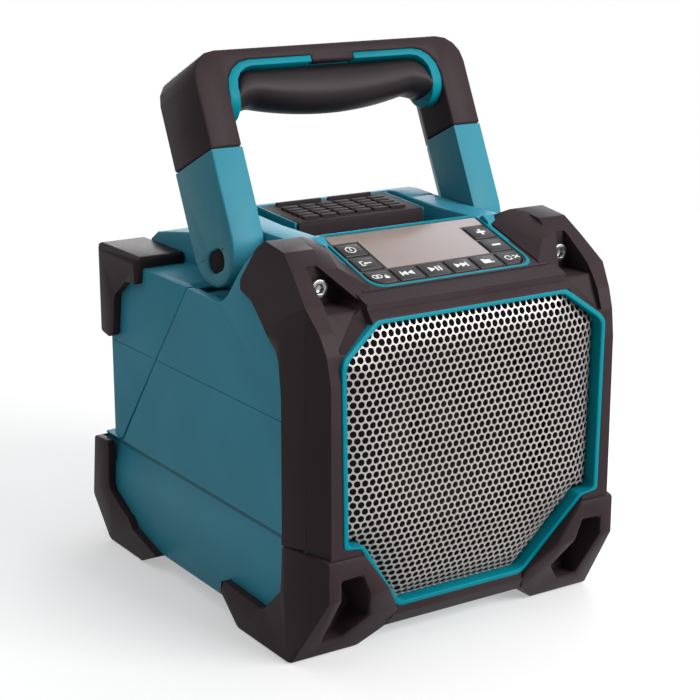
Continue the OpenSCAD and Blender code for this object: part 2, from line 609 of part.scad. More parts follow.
// Trim between crown and grip: a band over the grip and a collar at each end.
module core_outline() difference() {
  polygon(rounded([[-arm_in, 50, 0], [arm_in, 50, 0], [arm_in, crown_a - 5.4, 13], [-arm_in,
    crown_a - 5.4, 13]]));
  polygon(rounded([[-band_x, 40, 0], [band_x, 40, 0], [band_x, crown_a - 8.4, 9], [-band_x,
    crown_a - 8.4, 9]]));
}
module handle_core() color("#2a93a6") on_handle() difference() {
  intersection() {
    along_y(-arm_w / 2 + 0.3, 4) core_outline();
    union() {
      rod_x(-arm_in, arm_in, grip_v, grip_a, 2 * grip_r + 0.4, 96);
      box([-arm_in, -arm_w, grip_a], [arm_in, arm_w, crown_a]);
    }
  }
  box([-11.3, -arm_w, crown_a - 9], [11.3, -13, crown_a]);
}
function grip_low(x) = grip_a - 9.7 + 5.2 * pow(min(x, 42) / 42, 2) - max(0, x - 42) * 0.25;
module grip_outline() polygon(rounded(concat([for (i = [-8:8]) [i * band_x / 8,
  grip_low(abs(i) * band_x / 8), 0]],
  [[band_x, crown_a - 8.4, 9], [-band_x, crown_a - 8.4, 9]])));
module handle_grip() color("#1f1c1d") on_handle() intersection() {
  along_y(-arm_w / 2 + 0.5, 3.8) grip_outline();
  union() {
    rod_x(-arm_in, arm_in, grip_v, grip_a, 2 * grip_r, 96);
    box([-arm_in, -arm_w, grip_a], [arm_in, arm_w, crown_a]);
  }
}
module pivot_bolt() color("#2a2a2a") on_handle() {
  rod_x(well_half + 5, arm_out - 5.2, 0, 0, bolt_d);
  for (v = [-2.6, 2.6]) rod_x(arm_out - 6.5, arm_out - 0.8, v, 0, bolt_d + 0.4);
  box([arm_out - 6.5, -2.6, -bolt_d / 2 - 0.2], [arm_out - 0.8, 2.6, bolt_d / 2 + 0.2]);
}
module pivot_bolt_left() mirror([1, 0, 0]) pivot_bolt();
module pivot_bolt_right() pivot_bolt();

main_shell();
front_frame();
front_sill();
front_foot_left();
front_foot_right();
rear_foot_left();
rear_foot_right();
grille_ring();
speaker_grille();
baffle();
woofer_basket();
woofer_magnet();
woofer_surround();
woofer_cone();
panel_tray();
panel_rim();
display_lens();
display_module();
key_board();
key_power();
key_source();
key_pair();
key_previous();
key_play();
key_next();
key_folder();
key_repeat();
key_plus();
key_minus();
frame_screws();
main_board();
battery_bay();
battery_terminal();
cover_hinge_pin();
battery_cover();
upper_bumper_left();
upper_bumper_right();
latch_lid();
latch_pad();
latch_pin();
latch_catch();
handle_arm_left();
handle_arm_right();
handle_crown();
handle_core();
handle_grip();
pivot_bolt_left();
pivot_bolt_right();
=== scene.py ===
import bmesh
import bpy
import json
import math
from mathutils import Matrix, Vector


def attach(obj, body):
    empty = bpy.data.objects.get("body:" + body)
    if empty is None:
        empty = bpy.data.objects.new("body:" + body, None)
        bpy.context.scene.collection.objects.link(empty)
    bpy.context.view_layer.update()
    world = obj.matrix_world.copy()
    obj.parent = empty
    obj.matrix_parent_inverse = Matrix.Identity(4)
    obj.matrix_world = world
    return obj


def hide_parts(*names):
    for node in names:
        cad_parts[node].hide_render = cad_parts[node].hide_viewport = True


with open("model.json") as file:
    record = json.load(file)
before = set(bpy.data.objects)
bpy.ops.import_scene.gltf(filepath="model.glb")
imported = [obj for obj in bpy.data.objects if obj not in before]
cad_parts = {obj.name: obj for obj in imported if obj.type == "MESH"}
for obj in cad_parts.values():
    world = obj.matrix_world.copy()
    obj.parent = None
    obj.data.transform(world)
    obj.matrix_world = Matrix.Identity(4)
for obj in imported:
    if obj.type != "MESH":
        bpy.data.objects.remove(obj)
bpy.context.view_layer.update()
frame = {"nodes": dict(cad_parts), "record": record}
NODES = frame["nodes"]
MM = 0.001
BODY_OF = {node: body for body, nodes in frame["record"]["behaviour"]["bodies"].items() for node in nodes}
FRONT_KEYS = ("pair", "previous", "play", "next", "folder", "repeat")
KEYS = ("power", "source") + FRONT_KEYS + ("plus", "minus")


def add_node(tree, kind, operation=None, values=None):
    """A shader node with its operation and its constants set."""
    made = tree.nodes.new("ShaderNode" + kind)
    if operation:
        made.operation = operation
    for socket, value in (values or {}).items():
        made.inputs[socket].default_value = value
    return made


# Camera and lamps: places in metres, angles in degrees.
CAMERA_PLACE = (-0.4381, -0.6743, 0.3285)
CAMERA_DOWN = 15.45
CAMERA_YAW = 33.25
LENS_MM = 91.41
SENSOR_MM = 36.0
NEAREST = 0.01


def set_camera():
    data = bpy.data.cameras.new("studio_camera")
    data.sensor_fit = "HORIZONTAL"
    data.sensor_width = SENSOR_MM
    data.lens = LENS_MM
    data.clip_start = NEAREST
    cam = bpy.data.objects.new("studio_camera", data)
    cam.location = CAMERA_PLACE
    cam.rotation_euler = (math.radians(90 - CAMERA_DOWN), 0.0, math.radians(-CAMERA_YAW))
    bpy.context.scene.collection.objects.link(cam)
    bpy.context.scene.camera = cam


def add_lamp(name, place, aim, size, watts, tint=(1, 1, 1)):
    """A rectangular lamp turned towards a point."""
    data = bpy.data.lights.new(name, "AREA")
    data.shape = "RECTANGLE"
    data.size, data.size_y = size
    data.energy = watts
    data.color = tint
    lamp = bpy.data.objects.new(name, data)
    lamp.location = place
    dx, dy, dz = (aim[i] - place[i] for i in range(3))
    lamp.rotation_euler = (math.atan2(math.hypot(dx, dy), -dz), 0, math.atan2(dy, dx) - math.pi / 2)
    bpy.context.scene.collection.objects.link(lamp)


def set_lamps():
    """A softbox from the right front, one from behind, and a weak cool card that the display lens mirrors."""
    add_lamp("key_softbox", place=(0.75, -1.6, 0.95), aim=(0, 0, 0.1), size=(1.2, 1.0), watts=46)
    add_lamp("rear_softbox", place=(1.15, 1.8, 0.8), aim=(0, 0, 0.15), size=(1.6, 0.9), watts=16)
    add_lamp("panel_card", place=(0.664, 0.541, 0.65), aim=(0, -0.064, 0.167), size=(0.5, 0.4), watts=0.72,
             tint=(1.0, 1.05, 1.35))


# World and floor: what is seen of them is white, what they give as light is less.
FILL_FROM = (0.58, 0.48, 0.66)
FILL_SPAN = (-0.5, 0.9)
FILL_DIM, FILL_BRIGHT = 0.16, 1.0
FLOOR_SIZE = 12.0
FLOOR_PLACE = (0.0, 2.0, -0.0005)
PAPER_GREY = (0.4, 0.4, 0.4, 1)
PAPER_WHITE = (0.9, 0.9, 0.9, 1)
PAPER_ROUGH = 0.9
PAPER_GLOSS = 0.1
GLOW_SPAN = (0.1, 1.0)
GLOW_NEAR, GLOW_FAR = 0.4, 1.0


def seen_rays(tree):
    """1 where the camera, a reflection or glass looks at the surface, 0 for the light it gives."""
    path = add_node(tree, "LightPath")
    seen = path.outputs["Is Camera Ray"]
    for ray in ("Is Glossy Ray", "Is Transmission Ray"):
        either = add_node(tree, "Math", "MAXIMUM")
        tree.links.new(seen, either.inputs[0])
        tree.links.new(path.outputs[ray], either.inputs[1])
        seen = either.outputs[0]
    return seen


def set_world():
    """White to look at; as light, bright behind and overhead and dim to the left of the camera."""
    world = bpy.data.worlds.new("studio_world")
    world.use_nodes = True
    tree = world.node_tree
    sky = tree.nodes["Background"]
    sky.inputs["Color"].default_value = (1.0, 1.0, 1.0, 1.0)
    way = add_node(tree, "TexCoord")
    toward = add_node(tree, "VectorMath", "DOT_PRODUCT", {1: FILL_FROM})
    tree.links.new(way.outputs["Generated"], toward.inputs[0])
    level = add_node(tree, "MapRange", values={"From Min": FILL_SPAN[0], "From Max": FILL_SPAN[1],
                                               "To Min": FILL_DIM, "To Max": FILL_BRIGHT})
    tree.links.new(toward.outputs["Value"], level.inputs["Value"])
    strength = add_node(tree, "Math", "MAXIMUM")
    tree.links.new(level.outputs["Result"], strength.inputs[0])
    tree.links.new(seen_rays(tree), strength.inputs[1])
    tree.links.new(strength.outputs[0], sky.inputs["Strength"])
    bpy.context.scene.world = world


def set_floor():
    """Grey paper for the light it throws back; to look at, white paper that fades into an even white."""
    bpy.ops.mesh.primitive_plane_add(size=FLOOR_SIZE, location=FLOOR_PLACE)
    floor = bpy.context.object
    floor.name = "studio_floor"
    paper = bpy.data.materials.new("floor_paper")
    paper.use_nodes = True
    tree = paper.node_tree
    dull = tree.nodes["Principled BSDF"]
    dull.inputs["Base Color"].default_value = PAPER_GREY
    dull.inputs["Roughness"].default_value = PAPER_ROUGH
    dull.inputs["Specular IOR Level"].default_value = PAPER_GLOSS
    white = add_node(tree, "BsdfDiffuse", values={"Color": PAPER_WHITE})
    glow = add_node(tree, "Emission")
    place = add_node(tree, "TexCoord")
    away = add_node(tree, "VectorMath", "DISTANCE", {1: (0.0, -FLOOR_PLACE[1], 0.0)})
    tree.links.new(place.outputs["Object"], away.inputs[0])
    part = add_node(tree, "MapRange", values={"From Min": GLOW_SPAN[0], "From Max": GLOW_SPAN[1],
                                              "To Min": GLOW_NEAR, "To Max": GLOW_FAR})
    tree.links.new(away.outputs["Value"], part.inputs["Value"])
    backdrop = add_node(tree, "MixShader")
    tree.links.new(part.outputs["Result"], backdrop.inputs["Fac"])
    tree.links.new(white.outputs["BSDF"], backdrop.inputs[1])
    tree.links.new(glow.outputs["Emission"], backdrop.inputs[2])
    mix = add_node(tree, "MixShader")
    tree.links.new(seen_rays(tree), mix.inputs["Fac"])
    tree.links.new(dull.outputs["BSDF"], mix.inputs[1])
    tree.links.new(backdrop.outputs["Shader"], mix.inputs[2])
    tree.links.new(mix.outputs["Shader"], tree.nodes["Material Output"].inputs["Surface"])
    floor.data.materials.append(paper)


# Finishes
FINISH = {}
CLOUD_EDGES = (0.3, 0.7)
CLOUD_DETAIL = 4.0
GRAIN_DETAIL = 2.0
GLOSS_SPREAD = 0.09
SMOOTHEST = 0.03
RELIEF_STRENGTH = 0.6
# Painted shade: the shell's teal is darkened on the downward-facing facet of its side groove.
SHADE_BAND_HEIGHTS = (50.2, 53.8)
BAND_PAINTED_SHADE = 0.45


def shade(colour, by):
    """A colour made lighter or darker, with its alpha."""
    return tuple(min(1.0, c * by) for c in colour) + (1.0,)


def moulded(name, colour, rough, grain_mm, grain_depth, cloud=0.12, cloud_mm=40.0, metal=0.0, specular=0.5):
    """Add a moulded or painted finish: soft clouds in the colour, a fine grain in gloss and relief."""
    finish = bpy.data.materials.new(name)
    finish.use_nodes = True
    tree = finish.node_tree
    skin = tree.nodes["Principled BSDF"]
    skin.inputs["Metallic"].default_value = metal
    skin.inputs["Specular IOR Level"].default_value = specular
    place = add_node(tree, "TexCoord")
    clouds = add_node(tree, "TexNoise", values={"Scale": 1000.0 / cloud_mm, "Detail": CLOUD_DETAIL})
    tree.links.new(place.outputs["Object"], clouds.inputs["Vector"])
    tone = add_node(tree, "ValToRGB")
    for stop, at, by in zip(tone.color_ramp.elements, CLOUD_EDGES, (1 - cloud, 1 + cloud)):
        stop.position = at
        stop.color = shade(colour, by)
    tree.links.new(clouds.outputs["Fac"], tone.inputs["Fac"])
    tree.links.new(tone.outputs["Color"], skin.inputs["Base Color"])
    grain = add_node(tree, "TexNoise", values={"Scale": 1000.0 / grain_mm, "Detail": GRAIN_DETAIL})
    tree.links.new(place.outputs["Object"], grain.inputs["Vector"])
    gloss = add_node(tree, "MapRange", values={"To Min": max(SMOOTHEST, rough - GLOSS_SPREAD),
                                               "To Max": min(1.0, rough + GLOSS_SPREAD)})
    tree.links.new(grain.outputs["Fac"], gloss.inputs["Value"])
    tree.links.new(gloss.outputs["Result"], skin.inputs["Roughness"])
    relief = add_node(tree, "Bump", values={"Strength": RELIEF_STRENGTH, "Distance": grain_depth * MM})
    tree.links.new(grain.outputs["Fac"], relief.inputs["Height"])
    tree.links.new(relief.outputs["Normal"], skin.inputs["Normal"])
    FINISH[name] = finish


def paint_groove_shade(name, heights, by):
    """Paint shade into a finish between two heights in mm, on the downward-facing facet of the shell's
    groove.
    """
    low, high = heights
    tree = FINISH[name].node_tree
    skin = tree.nodes["Principled BSDF"]
    colour = skin.inputs["Base Color"].links[0].from_socket
    place = add_node(tree, "TexCoord")
    parts = add_node(tree, "SeparateXYZ")
    tree.links.new(place.outputs["Object"], parts.inputs["Vector"])
    within = add_node(tree, "Math", "COMPARE", {1: 0.5 * (low + high) * MM, 2: 0.5 * (high - low) * MM})
    tree.links.new(parts.outputs["Z"], within.inputs[0])
    level = add_node(tree, "MapRange", values={"To Min": 1.0, "To Max": by})
    tree.links.new(within.outputs["Value"], level.inputs["Value"])
    darker = add_node(tree, "VectorMath", "SCALE")
    tree.links.new(colour, darker.inputs[0])
    tree.links.new(level.outputs["Result"], darker.inputs["Scale"])
    tree.links.new(darker.outputs["Vector"], skin.inputs["Base Color"])


def mix_finishes():
    # The shell's teal is lighter than the arms' teal of the same plastic: painted light, making up for the
    # dim light on its shaded left side.
    moulded("shell_teal", (0.032, 0.24, 0.335), 0.45, 0.55, 0.05, cloud=0.07, specular=0.08)
    moulded("arm_teal", (0.036, 0.208, 0.272), 0.42, 0.5, 0.04, cloud=0.07, specular=0.1)
    moulded("trim_teal", (0.0, 0.185, 0.235), 0.4, 0.5, 0.02, cloud=0.08, specular=0.08)
    moulded("frame_black", (0.033, 0.0228, 0.0252), 0.42, 0.6, 0.05, cloud=0.14, specular=0.05)
    moulded("bumper_rubber", (0.032, 0.022, 0.0245), 0.4, 0.7, 0.05, cloud=0.15, specular=0.05)
    moulded("grip_rubber", (0.015, 0.0105, 0.012), 0.45, 0.45, 0.06, cloud=0.15, specular=0.15)
    moulded("grille_metal", (0.38, 0.35, 0.34), 0.42, 0.8, 0.01, cloud=0.06, metal=0.35)
    moulded("baffle_black", (0.004, 0.004, 0.004), 0.8, 0.8, 0.05, specular=0.1)
    moulded("basket_metal", (0.012, 0.012, 0.013), 0.5, 0.5, 0.03, metal=0.4)
    moulded("magnet_steel", (0.4, 0.41, 0.43), 0.35, 0.3, 0.02, metal=0.9)
    moulded("cone_paper", (0.014, 0.013, 0.0125), 0.85, 1.6, 0.15, cloud=0.2, cloud_mm=6.0, specular=0.1)
    moulded("surround_rubber", (0.006, 0.006, 0.006), 0.7, 0.6, 0.03, specular=0.1)
    moulded("panel_black", (0.012, 0.011, 0.011), 0.42, 0.5, 0.02)
    moulded("lcd_grey", (0.18, 0.2, 0.17), 0.3, 0.4, 0.01)
    moulded("board_green", (0.03, 0.16, 0.07), 0.4, 1.2, 0.05, cloud=0.25, cloud_mm=9.0)
    moulded("key_rubber", (0.012, 0.0105, 0.011), 0.5, 0.4, 0.03, cloud=0.15)
    moulded("screw_steel", (0.36, 0.36, 0.355), 0.25, 0.6, 0.004, metal=1.0)
    moulded("pin_steel", (0.5, 0.5, 0.51), 0.3, 0.25, 0.02, metal=1.0)
    moulded("bay_black", (0.02, 0.018, 0.018), 0.6, 0.6, 0.05)
    # The pivot bolts are black; their near-black colour also paints the shade inside the pivot recess that
    # their heads fill.
    moulded("bolt_black", (0.003, 0.003, 0.003), 0.6, 0.3, 0.02, specular=0.05)
    moulded("lens_smoke", (0.25, 0.195, 0.175), 0.1, 2.5, 0.002, cloud=0.1, specular=0.6)
    moulded("pad_rubber", (0.028, 0.0205, 0.023), 0.62, 0.5, 0.05, cloud=0.15, specular=0.05)
    moulded("sign_white", (0.72, 0.72, 0.71), 0.5, 0.3, 0.01, cloud=0.04)
    # painted shade on the groove facet of the shell
    paint_groove_shade("shell_teal", SHADE_BAND_HEIGHTS, BAND_PAINTED_SHADE)


MADE_OF = {
    "shell_teal": ("main_shell", "battery_cover"),
    "arm_teal": ("handle_arm_left", "handle_arm_right"),
    "trim_teal": ("grille_ring", "panel_rim", "latch_lid", "handle_core"),
    "frame_black": ("front_frame", "front_sill", "handle_crown"),
    "bumper_rubber": ("front_foot_left", "front_foot_right", "rear_foot_left", "rear_foot_right",
                      "upper_bumper_left", "upper_bumper_right", "latch_pad"),
    "grip_rubber": ("handle_grip",),
    "grille_metal": ("speaker_grille",),
    "baffle_black": ("baffle",),
    "basket_metal": ("woofer_basket",),
    "magnet_steel": ("woofer_magnet",),
    "surround_rubber": ("woofer_surround",),
    "cone_paper": ("woofer_cone",),
    "panel_black": ("panel_tray",),
    "lens_smoke": ("display_lens",),
    "lcd_grey": ("display_module",),
    "board_green": ("key_board", "main_board"),
    "screw_steel": ("frame_screws",),
    "pin_steel": ("cover_hinge_pin", "latch_pin"),
    "bay_black": ("battery_bay", "battery_terminal", "latch_catch"),
    "bolt_black": ("pivot_bolt_left", "pivot_bolt_right"),
    "key_rubber": tuple("key_" + key for key in KEYS),
}
SLOT_OF = {node: slot for slot, nodes in MADE_OF.items() for node in nodes}
# The ribbed pad is the bumpers' rubber, with a duller skin of its own.
SKIN_OF = dict(SLOT_OF, latch_pad="pad_rubber")


def paint_solids():
    """Give each solid the finish of its slot."""
    for node, piece in NODES.items():
        piece.data.materials.clear()
        piece.data.materials.append(FINISH[SLOT_OF[node]])


# Tools of the bench
def leave():
    """Back to object mode."""
    bpy.ops.object.mode_set(mode="OBJECT")


def clear_selection():
    if bpy.context.object is not None and bpy.context.object.mode != "OBJECT":
        leave()
    bpy.ops.object.select_all(action="DESELECT")


def take_up(piece):
    """Select one piece alone and make it the active one."""
    clear_selection()
    piece.select_set(True)
    bpy.context.view_layer.objects.active = piece


def edit(piece, pick="VERT", select="SELECT"):
    """Open a piece's mesh, with all of it selected or none."""
    take_up(piece)
    bpy.ops.object.mode_set(mode="EDIT")
    bpy.ops.mesh.select_mode(type=pick)
    bpy.ops.mesh.select_all(action=select)


def apply_all(piece):
    take_up(piece)
    for name in [m.name for m in piece.modifiers]:
        bpy.ops.object.modifier_apply(modifier=name)


def thicken(piece, thick, offset=0.0):
    """Give a sheet its thickness, in the unit the sheet is drawn in."""
    wall = piece.modifiers.new("wall", "SOLIDIFY")
    wall.thickness = thick
    wall.offset = offset
    apply_all(piece)


def face_outward(piece):
    edit(piece)
    bpy.ops.mesh.normals_make_consistent(inside=False)
    leave()


def smooth(piece, degrees):
    take_up(piece)
    bpy.ops.object.shade_smooth_by_angle(angle=math.radians(degrees))


def done(piece, finish, body, stands_for=()):
    """Paint a piece and hand it over: its body and the solids it stands for."""
    clear_selection()
    piece.data.materials.clear()
    piece.data.materials.append(FINISH[finish])
    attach(piece, body)
    if stands_for:
        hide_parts(*stands_for)


# Rounded edges: widths in mm, angles in degrees, room as a multiple of the width.
MERGE_MM = 0.01
FLAT_WITHIN = 1.0
SHARP_FROM = 32
RUN_ON_WITHIN = 40
ROOM_BESIDE = 1.25
ROOM_ALONG = 2.1
ROUNDING_STEPS = 2
WIDE_THEN_NARROW = (1.0, 0.4)
SOFT_SHADING = 30
SOFT_EDGES = {
    "main_shell": 0.8, "battery_cover": 0.8, "front_frame": 1.6, "front_sill": 0.5, "front_foot_left": 1.4,
    "front_foot_right": 1.4, "rear_foot_left": 1.2, "rear_foot_right": 1.2, "upper_bumper_left": 1.0,
    "upper_bumper_right": 1.0, "grille_ring": 0.5, "panel_rim": 0.3, "panel_tray": 0.3, "latch_lid": 0.4,
    "latch_pad": 0.3, "handle_arm_left": 0.9, "handle_arm_right": 0.9, "handle_crown": 1.2,
    "handle_core": 0.4, "frame_screws": 0.25, "pivot_bolt_left": 0.4, "pivot_bolt_right": 0.4,
}
SOFT_EDGES.update({"key_" + key: 0.45 for key in KEYS})


def runs_on(v, own):
    """Whether two sharp edges follow one another through a vertex without a corner."""
    ends = [e.other_vert(v).co for e in own]
    if len(ends) != 2 or ends[0] == ends[1]:
        return False
    bend = math.pi - (ends[0] - v.co).angle(ends[1] - v.co, 0.0)
    return bend < math.radians(RUN_ON_WITHIN)


def edges_with_room(mesh, width):
    """Sharp edges that have room on both sides for a rounding of this width, by index."""
    form = bmesh.new()
    form.from_mesh(mesh)
    least = math.radians(SHARP_FROM)
    sharp = {e for e in form.edges if len(e.link_faces) == 2 and abs(e.calc_face_angle(0.0)) > least}
    crowded = True
    while crowded:
        crowded = set()
        for v in form.verts:
            own = [e for e in v.link_edges if e in sharp]
            along = 0.0 if runs_on(v, own) else ROOM_ALONG * width
            for e in v.link_edges:
                if e.calc_length() < (along if e in sharp else ROOM_BESIDE * width):
                    crowded.update(own)
        sharp -= crowded
    picked = {e.index for e in sharp}
    form.free()
    return picked


def round_edges(piece, width):
    """Round the sharp edges that have room for this width."""
    edit(piece)
    bpy.ops.mesh.vert_connect_concave()
    leave()
    picked = edges_with_room(piece.data, width)
    edit(piece, "EDGE", "DESELECT")
    leave()
    for e in piece.data.edges:
        e.select = e.index in picked
    bpy.ops.object.mode_set(mode="EDIT")
    if picked:
        bpy.ops.mesh.bevel(offset=width, offset_type="OFFSET", segments=ROUNDING_STEPS, affect="EDGES",
                           clamp_overlap=False)
    leave()


def softened(node, width, reshape=None):
    """A copy of a solid with its sharp edges broken, as they come out of a mould."""
    piece = bpy.data.objects.new("soft_" + node, NODES[node].data.copy())
    bpy.context.scene.collection.objects.link(piece)
    edit(piece)
    bpy.ops.mesh.customdata_custom_splitnormals_clear()
    bpy.ops.mesh.remove_doubles(threshold=MERGE_MM * MM)
    bpy.ops.mesh.dissolve_limited(angle_limit=math.radians(FLAT_WITHIN), delimit={"NORMAL"})
    leave()
    if reshape:
        reshape(piece)
    for part in WIDE_THEN_NARROW:
        round_edges(piece, part * width * MM)
    smooth(piece, SOFT_SHADING)
    done(piece, SKIN_OF[node], BODY_OF[node], (node,))


# Small changes of form, in mm: the side groove and the rear corners of the base.
GROOVE_Z = 50.0
GROOVE_SLACK = 0.05
GROOVE_SIDE = 75.0
GROOVE_DEEPER = 0.9
SIDE_FACE = 77.0
REAR_CORNER_Y, REAR_CORNER_Z = 100.0, 53.5
REAR_CORNER_IN = 4.0


def reshape_shell(piece):
    """Deepen the groove, and draw the rear corners of the base in behind the feet."""
    for v in piece.data.vertices:
        x, y, z = v.co / MM
        if abs(z - GROOVE_Z) < GROOVE_SLACK and abs(x) > GROOVE_SIDE:
            v.co.x -= math.copysign(GROOVE_DEEPER * MM, x)
        if abs(x) > SIDE_FACE and y > REAR_CORNER_Y and z > REAR_CORNER_Z:
            v.co.y -= REAR_CORNER_IN * MM


# The side flange of a rear foot: where its tip is (y, z), where it goes, and the share of its shape kept.
FLANGE_FRONT = 45.0
FLANGE_LOW = 7.1
FLANGE_UPPER_FROM = 13.6
FLANGE_UPPER = ((33.0, 16.5), (63.0, 13.7), 0.4)
FLANGE_LOWER = ((30.0, 10.6), (38.4, 7.1), 0.2)


def reshape_rear_foot(piece):
    """Draw the tip of the side flange back to the edge where the foot turns under the shell."""
    for v in piece.data.vertices:
        x, y, z = v.co / MM
        if abs(x) > SIDE_FACE and y < FLANGE_FRONT and z > FLANGE_LOW:
            tip, goal, keep = FLANGE_UPPER if z > FLANGE_UPPER_FROM else FLANGE_LOWER
            v.co.y = (goal[0] + keep * (y - tip[0])) * MM
            v.co.z = (goal[1] + keep * (z - tip[1])) * MM


# The hollows at the frame's upper corners, and the lip between each and the grille ring.
HOLLOW_LOW = 137.0
HOLLOW_FLOOR = -101.4
HOLLOW_SLOPE = 8.4 / 15.6
LIP_OUT = 68.25
LIP_LOW, LIP_HIGH = 138.25, 151.0
LIP_MIDDLE = 66.5
LIP_LEAN = 1.14
LIP_LEFT = 0.06


def reshape_frame(piece):
    """Slope the lip beside the grille ring down to the floor of the corner hollows."""
    for v in piece.data.vertices:
        x, y, z = v.co / MM
        floor = HOLLOW_FLOOR + HOLLOW_SLOPE * (z - HOLLOW_LOW)
        lip_middle = LIP_MIDDLE - LIP_LEAN * (z - LIP_LOW)
        if lip_middle < abs(x) < LIP_OUT and LIP_LOW < z < LIP_HIGH and y < floor - LIP_LEFT:
            v.co.y = (floor - LIP_LEFT) * MM


RESHAPE = {
    "main_shell": reshape_shell,
    "front_frame": reshape_frame,
    "rear_foot_left": reshape_rear_foot,
    "rear_foot_right": reshape_rear_foot,
}

# Perforated grille sheet: one cell modelled, repeated, clipped to the ring and pressed into a pillow.
CELL = 3.38
ROW = 3.08
HOLE = 2.84
HOLE_SIDES = 12
CELLS_ACROSS = 44
SPARE_ROWS = 3
SHEET_SPAN = (21.0, 148.0)
SHEET_MIDDLE = -103.2
SHEET_DROP = 4.2
SHEET_THICK = 0.5
PILLOW_WIDE = 17.0
PILLOW_POWER = 2.2
BEND = 56.0
BEND_ROUND = 7.0
BEND_RISE = 0.5
LOWER_TILT = 16.0
GRILLE_SHADING = 40
# Half of the sheet's edge as (x, z): two cuts of full height, one only below the bend, and what they leave.
UPPER_EDGE = [(65.2, 50.0), (66.2, 134.1), (47.9, 147.4)]
LOWER_EDGE = [(32.6, 21.5), (57.2, 55.2)]
SHOULDER = (65.2, 56.3)
SHEET_TOP, SHEET_FOOT = UPPER_EDGE[-1][1], LOWER_EDGE[0][1]
WHOLE_EDGE = [(0.0, SHEET_FOOT)] + LOWER_EDGE + [SHOULDER] + UPPER_EDGE[1:] + [(0.0, SHEET_TOP)]
# In metres: a height over everything, and how near counts as the same place.
ANY_HEIGHT = 1.0
CUT_SLACK = 0.005 * MM
CUT_SNAP = 0.001 * MM
CELL_MERGE = 0.02 * MM
SHEET_MERGE = 0.01 * MM


def cut_away(piece, point, outward, top=ANY_HEIGHT, keep_both=False):
    """Bisect the sheet below a height and drop what lies outside the cut."""
    take_up(piece)
    mesh = piece.data
    for v in mesh.vertices:
        v.select = v.co.z <= top + CUT_SLACK
    for part in list(mesh.edges) + list(mesh.polygons):
        part.select = all(mesh.vertices[i].select for i in part.vertices)
    bpy.ops.object.mode_set(mode="EDIT")
    bpy.ops.mesh.select_mode(type="VERT")
    bpy.ops.mesh.bisect(plane_co=point, plane_no=Vector(outward).normalized(), clear_outer=not keep_both,
                        threshold=CUT_SNAP)
    leave()


def one_cell(name):
    """A six-sided cell round one hole, with its twin in the next row."""
    clear_selection()
    middle = 0.5 * CELL * MM
    bpy.ops.mesh.primitive_circle_add(vertices=HOLE_SIDES, radius=0.5 * HOLE * MM, fill_type="NOTHING",
                                      location=(0, 0, 0))
    piece = bpy.context.object
    piece.name = name
    edit(piece)
    bpy.ops.mesh.extrude_edges_move()
    bpy.ops.transform.resize(value=(CELL / HOLE, CELL / HOLE, 1), center_override=(0, 0, 0))
    leave()
    # The outer ring becomes a hexagon: its corners lie at 30 degrees and every 60 from there.
    for v in piece.data.vertices:
        if v.co.length > 0.9 * middle:
            turn = math.atan2(v.co.y, v.co.x)
            corner = abs(math.degrees(turn) % 60 - 30) < 5
            out = middle * (2 / math.sqrt(3) if corner else 1.0)
            v.co = (out * math.cos(turn), out * math.sin(turn), 0)
    edit(piece)
    bpy.ops.transform.resize(value=(1, ROW / (0.5 * math.sqrt(3) * CELL), 1), center_override=(0, 0, 0))
    bpy.ops.mesh.duplicate_move(TRANSFORM_OT_translate={"value": (middle, ROW * MM, 0)})
    leave()
    return piece


def perforated(name, low, high):
    """A flat sheet of holes between two heights, standing in the plane of the grille."""
    piece = one_cell(name)
    rows_up = int((high - low) / (2 * ROW)) + SPARE_ROWS
    for count, step in ((CELLS_ACROSS, (CELL * MM, 0, 0)), (rows_up, (0, 2 * ROW * MM, 0))):
        rows = piece.modifiers.new("rows", "ARRAY")
        rows.count = count
        rows.use_relative_offset = False
        rows.use_constant_offset = True
        rows.constant_offset_displace = step
    apply_all(piece)
    edit(piece)
    bpy.ops.mesh.remove_doubles(threshold=CELL_MERGE)
    bpy.ops.transform.rotate(value=-math.pi / 2, orient_axis="X", center_override=(0, 0, 0))
    leave()
    lowest = min(v.co.z for v in piece.data.vertices)
    edit(piece)
    bpy.ops.transform.translate(value=(-(CELLS_ACROSS // 2) * CELL * MM, 0, (low - 2 * ROW) * MM - lowest))
    leave()
    return piece


def clip_to_ring(piece):
    """Cut the sheet to the outline that the ring holds."""
    cut_away(piece, (0, 0, SHEET_FOOT * MM), (0, 0, -1))
    cut_away(piece, (0, 0, SHEET_TOP * MM), (0, 0, 1))
    cut_away(piece, (0, 0, BEND * MM), (0, 0, 1), keep_both=True)
    for points, top in ((UPPER_EDGE, ANY_HEIGHT), (LOWER_EDGE, BEND * MM)):
        for side in (1, -1):
            for (xa, za), (xb, zb) in zip(points, points[1:]):
                cut_away(piece, (side * xa * MM, 0, za * MM), (side * (zb - za), 0, -(xb - xa)), top)


def rim_gap(x, z):
    """How far a point of the sheet lies from the ring, in mm."""
    gaps = []
    for (xa, za), (xb, zb) in zip(WHOLE_EDGE, WHOLE_EDGE[1:]):
        long = (xb - xa) ** 2 + (zb - za) ** 2
        along = max(0.0, min(1.0, ((abs(x) - xa) * (xb - xa) + (z - za) * (zb - za)) / long))
        gaps.append(math.hypot(abs(x) - xa - along * (xb - xa), z - za - along * (zb - za)))
    return min(gaps)


def press_pillow(piece):
    """Press the sheet: its rim turns back behind the ring, its foot slopes with the frame."""
    slope = math.tan(math.radians(LOWER_TILT))
    for v in piece.data.vertices:
        x, z = v.co.x / MM, v.co.z / MM
        back = SHEET_DROP * max(0.0, 1 - rim_gap(x, z) / PILLOW_WIDE) ** PILLOW_POWER
        down = 0.5 * (BEND - z + math.hypot(BEND - z, BEND_ROUND)) - BEND_RISE
        v.co.y = (SHEET_MIDDLE + back + max(0.0, down) * slope) * MM


